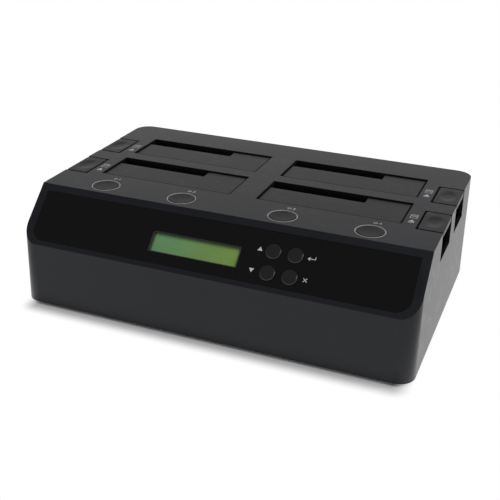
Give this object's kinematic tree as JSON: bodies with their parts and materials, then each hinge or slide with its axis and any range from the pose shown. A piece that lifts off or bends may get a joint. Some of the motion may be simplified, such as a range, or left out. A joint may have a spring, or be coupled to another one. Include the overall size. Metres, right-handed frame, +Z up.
{
  "type": "drive duplicator",
  "caption": "Free-standing hard drive duplicator dock with sprung top lids, side eject buttons, a sloped key panel with a screen, and rear power inlet.",
  "frame": {"origin": "middle of the footprint, on the plane the feet stand on", "axes": "+X to the right seen from the front, +Y to the rear, +Z up"},
  "size_m": [0.29, 0.191, 0.0831],
  "materials": {
    "shell_plastic": "fine satin texture",
    "base_plastic": "fine matt texture",
    "foot_rubber": "soft matt",
    "screw_steel": "zinc plated",
    "bay_plastic": "matt",
    "lid_plastic": "fine satin texture",
    "eject_plastic": "fine satin texture",
    "spring_steel": "spring wire",
    "lever_plastic": "matt",
    "socket_plastic": "matt",
    "pin_steel": "ground",
    "ring_plastic": "clear light guide",
    "panel_gloss": "glossy",
    "board_green": "solder mask",
    "bezel_metal": "satin",
    "lcd_glass": "lit screen",
    "heat_sink_metal": "extruded",
    "port_metal": "nickel plated",
    "inlet_plastic": "matt",
    "rocker_plastic": "satin",
    "fan_plastic": "matt",
    "power_plastic": "fine satin texture",
    "key_plastic": "satin"
  },
  "bodies": {
    "dock": {"housing": "shell_plastic", "base_plate": "base_plastic", "feet": "foot_rubber", "base_screws": "screw_steel", "board_screws": "screw_steel", "bay_well_front_left": "bay_plastic", "bay_well_front_right": "bay_plastic", "bay_well_rear_left": "bay_plastic", "bay_well_rear_right": "bay_plastic", "sata_sockets": "socket_plastic", "lever_pins": "pin_steel", "lid_pins": "pin_steel", "lid_springs": "spring_steel", "light_rings": "ring_plastic", "control_panel": "panel_gloss", "power_board": "board_green", "power_switches": "socket_plastic", "lcd_bezel": "bezel_metal", "lcd_glass": "lcd_glass", "lcd_module": "board_green", "control_board": "board_green", "key_switches": "socket_plastic", "main_board": "board_green", "chips": "socket_plastic", "heat_sink": "heat_sink_metal", "usb_port": "port_metal", "esata_port": "port_metal", "power_inlet": "inlet_plastic", "switch_body": "inlet_plastic", "fan_frame": "fan_plastic", "fan_screws": "screw_steel", "eject_spring_front_left": "spring_steel", "eject_spring_front_right": "spring_steel", "eject_spring_rear_left": "spring_steel", "eject_spring_rear_right": "spring_steel"},
    "lid_front_left_body": {"lid_front_left": "lid_plastic"},
    "eject_front_left_body": {"eject_button_front_left": "eject_plastic"},
    "lever_front_left_body": {"eject_lever_front_left": "lever_plastic"},
    "lid_front_right_body": {"lid_front_right": "lid_plastic"},
    "eject_front_right_body": {"eject_button_front_right": "eject_plastic"},
    "lever_front_right_body": {"eject_lever_front_right": "lever_plastic"},
    "lid_rear_left_body": {"lid_rear_left": "lid_plastic"},
    "eject_rear_left_body": {"eject_button_rear_left": "eject_plastic"},
    "lever_rear_left_body": {"eject_lever_rear_left": "lever_plastic"},
    "lid_rear_right_body": {"lid_rear_right": "lid_plastic"},
    "eject_rear_right_body": {"eject_button_rear_right": "eject_plastic"},
    "lever_rear_right_body": {"eject_lever_rear_right": "lever_plastic"},
    "power_1_body": {"power_button_1": "power_plastic"},
    "power_2_body": {"power_button_2": "power_plastic"},
    "power_3_body": {"power_button_3": "power_plastic"},
    "power_4_body": {"power_button_4": "power_plastic"},
    "up_body": {"up_key": "key_plastic"},
    "enter_body": {"enter_key": "key_plastic"},
    "down_body": {"down_key": "key_plastic"},
    "escape_body": {"escape_key": "key_plastic"},
    "rocker_body": {"rocker": "rocker_plastic"},
    "fan_body": {"fan_rotor": "fan_plastic"}
  },
  "joints": [
    {"name": "lid_front_left_tilt", "type": "hinge", "parent": "dock", "child": "lid_front_left_body", "pos_m": [-0.0631, -0.0228, 0.0777], "axis": [-1, 0, 0], "range_deg": [0, 85], "stiffness_Nm_per_rad": 0.01, "springref_deg": -34.38},
    {"name": "eject_front_left_press", "type": "slide", "parent": "dock", "child": "eject_front_left_body", "axis": [0, 0, -1], "range_m": [0, 0.007], "stiffness_N_per_m": 200, "springref_m": -0.004, "deforming": ["eject_spring_front_left"]},
    {"name": "lever_front_left_tilt", "type": "hinge", "parent": "dock", "child": "lever_front_left_body", "pos_m": [-0.12115, -0.0102, 0.0176], "axis": [0, -1, 0], "range_deg": [0, 28]},
    {"name": "lid_front_right_tilt", "type": "hinge", "parent": "dock", "child": "lid_front_right_body", "pos_m": [0.0631, -0.0228, 0.0777], "axis": [-1, 0, 0], "range_deg": [0, 85], "stiffness_Nm_per_rad": 0.01, "springref_deg": -34.38},
    {"name": "eject_front_right_press", "type": "slide", "parent": "dock", "child": "eject_front_right_body", "axis": [0, 0, -1], "range_m": [0, 0.007], "stiffness_N_per_m": 200, "springref_m": -0.004, "deforming": ["eject_spring_front_right"]},
    {"name": "lever_front_right_tilt", "type": "hinge", "parent": "dock", "child": "lever_front_right_body", "pos_m": [0.12115, -0.0102, 0.0176], "axis": [0, 1, 0], "range_deg": [0, 28]},
    {"name": "lid_rear_left_tilt", "type": "hinge", "parent": "dock", "child": "lid_rear_left_body", "pos_m": [-0.0631, 0.0285, 0.0777], "axis": [-1, 0, 0], "range_deg": [0, 85], "stiffness_Nm_per_rad": 0.01, "springref_deg": -34.38},
    {"name": "eject_rear_left_press", "type": "slide", "parent": "dock", "child": "eject_rear_left_body", "axis": [0, 0, -1], "range_m": [0, 0.007], "stiffness_N_per_m": 200, "springref_m": -0.004, "deforming": ["eject_spring_rear_left"]},
    {"name": "lever_rear_left_tilt", "type": "hinge", "parent": "dock", "child": "lever_rear_left_body", "pos_m": [-0.12115, 0.0411, 0.0176], "axis": [0, -1, 0], "range_deg": [0, 28]},
    {"name": "lid_rear_right_tilt", "type": "hinge", "parent": "dock", "child": "lid_rear_right_body", "pos_m": [0.0631, 0.0285, 0.0777], "axis": [-1, 0, 0], "range_deg": [0, 85], "stiffness_Nm_per_rad": 0.01, "springref_deg": -34.38},
    {"name": "eject_rear_right_press", "type": "slide", "parent": "dock", "child": "eject_rear_right_body", "axis": [0, 0, -1], "range_m": [0, 0.007], "stiffness_N_per_m": 200, "springref_m": -0.004, "deforming": ["eject_spring_rear_right"]},
    {"name": "lever_rear_right_tilt", "type": "hinge", "parent": "dock", "child": "lever_rear_right_body", "pos_m": [0.12115, 0.0411, 0.0176], "axis": [0, 1, 0], "range_deg": [0, 28]},
    {"name": "power_1_press", "type": "slide", "parent": "dock", "child": "power_1_body", "axis": [0, 0, -1], "range_m": [0, 0.0008], "stiffness_N_per_m": 600, "springref_m": -0.0008},
    {"name": "power_2_press", "type": "slide", "parent": "dock", "child": "power_2_body", "axis": [0, 0, -1], "range_m": [0, 0.0008], "stiffness_N_per_m": 600, "springref_m": -0.0008},
    {"name": "power_3_press", "type": "slide", "parent": "dock", "child": "power_3_body", "axis": [0, 0, -1], "range_m": [0, 0.0008], "stiffness_N_per_m": 600, "springref_m": -0.0008},
    {"name": "power_4_press", "type": "slide", "parent": "dock", "child": "power_4_body", "axis": [0, 0, -1], "range_m": [0, 0.0008], "stiffness_N_per_m": 600, "springref_m": -0.0008},
    {"name": "up_press", "type": "slide", "parent": "dock", "child": "up_body", "axis": [0, 0.7071, -0.7071], "range_m": [0, 0.0007], "stiffness_N_per_m": 600, "springref_m": -0.0008},
    {"name": "enter_press", "type": "slide", "parent": "dock", "child": "enter_body", "axis": [0, 0.7071, -0.7071], "range_m": [0, 0.0007], "stiffness_N_per_m": 600, "springref_m": -0.0008},
    {"name": "down_press", "type": "slide", "parent": "dock", "child": "down_body", "axis": [0, 0.7071, -0.7071], "range_m": [0, 0.0007], "stiffness_N_per_m": 600, "springref_m": -0.0008},
    {"name": "escape_press", "type": "slide", "parent": "dock", "child": "escape_body", "axis": [0, 0.7071, -0.7071], "range_m": [0, 0.0007], "stiffness_N_per_m": 600, "springref_m": -0.0008},
    {"name": "rocker_tip", "type": "hinge", "parent": "dock", "child": "rocker_body", "pos_m": [-0.112, 0.0918, 0.022], "axis": [-1, 0, 0], "range_deg": [0, 20]},
    {"name": "fan_spin", "type": "hinge", "parent": "dock", "child": "fan_body", "pos_m": [0.084, 0.088, 0.045], "axis": [0, 1, 0], "continuous": true}
  ],
  "couplings": [
    {"joint": "lever_front_left_tilt", "follows": "eject_front_left_press", "rad_per_m": 69.4},
    {"joint": "lever_front_right_tilt", "follows": "eject_front_right_press", "rad_per_m": 69.4},
    {"joint": "lever_rear_left_tilt", "follows": "eject_rear_left_press", "rad_per_m": 69.4},
    {"joint": "lever_rear_right_tilt", "follows": "eject_rear_right_press", "rad_per_m": 69.4}
  ]
}
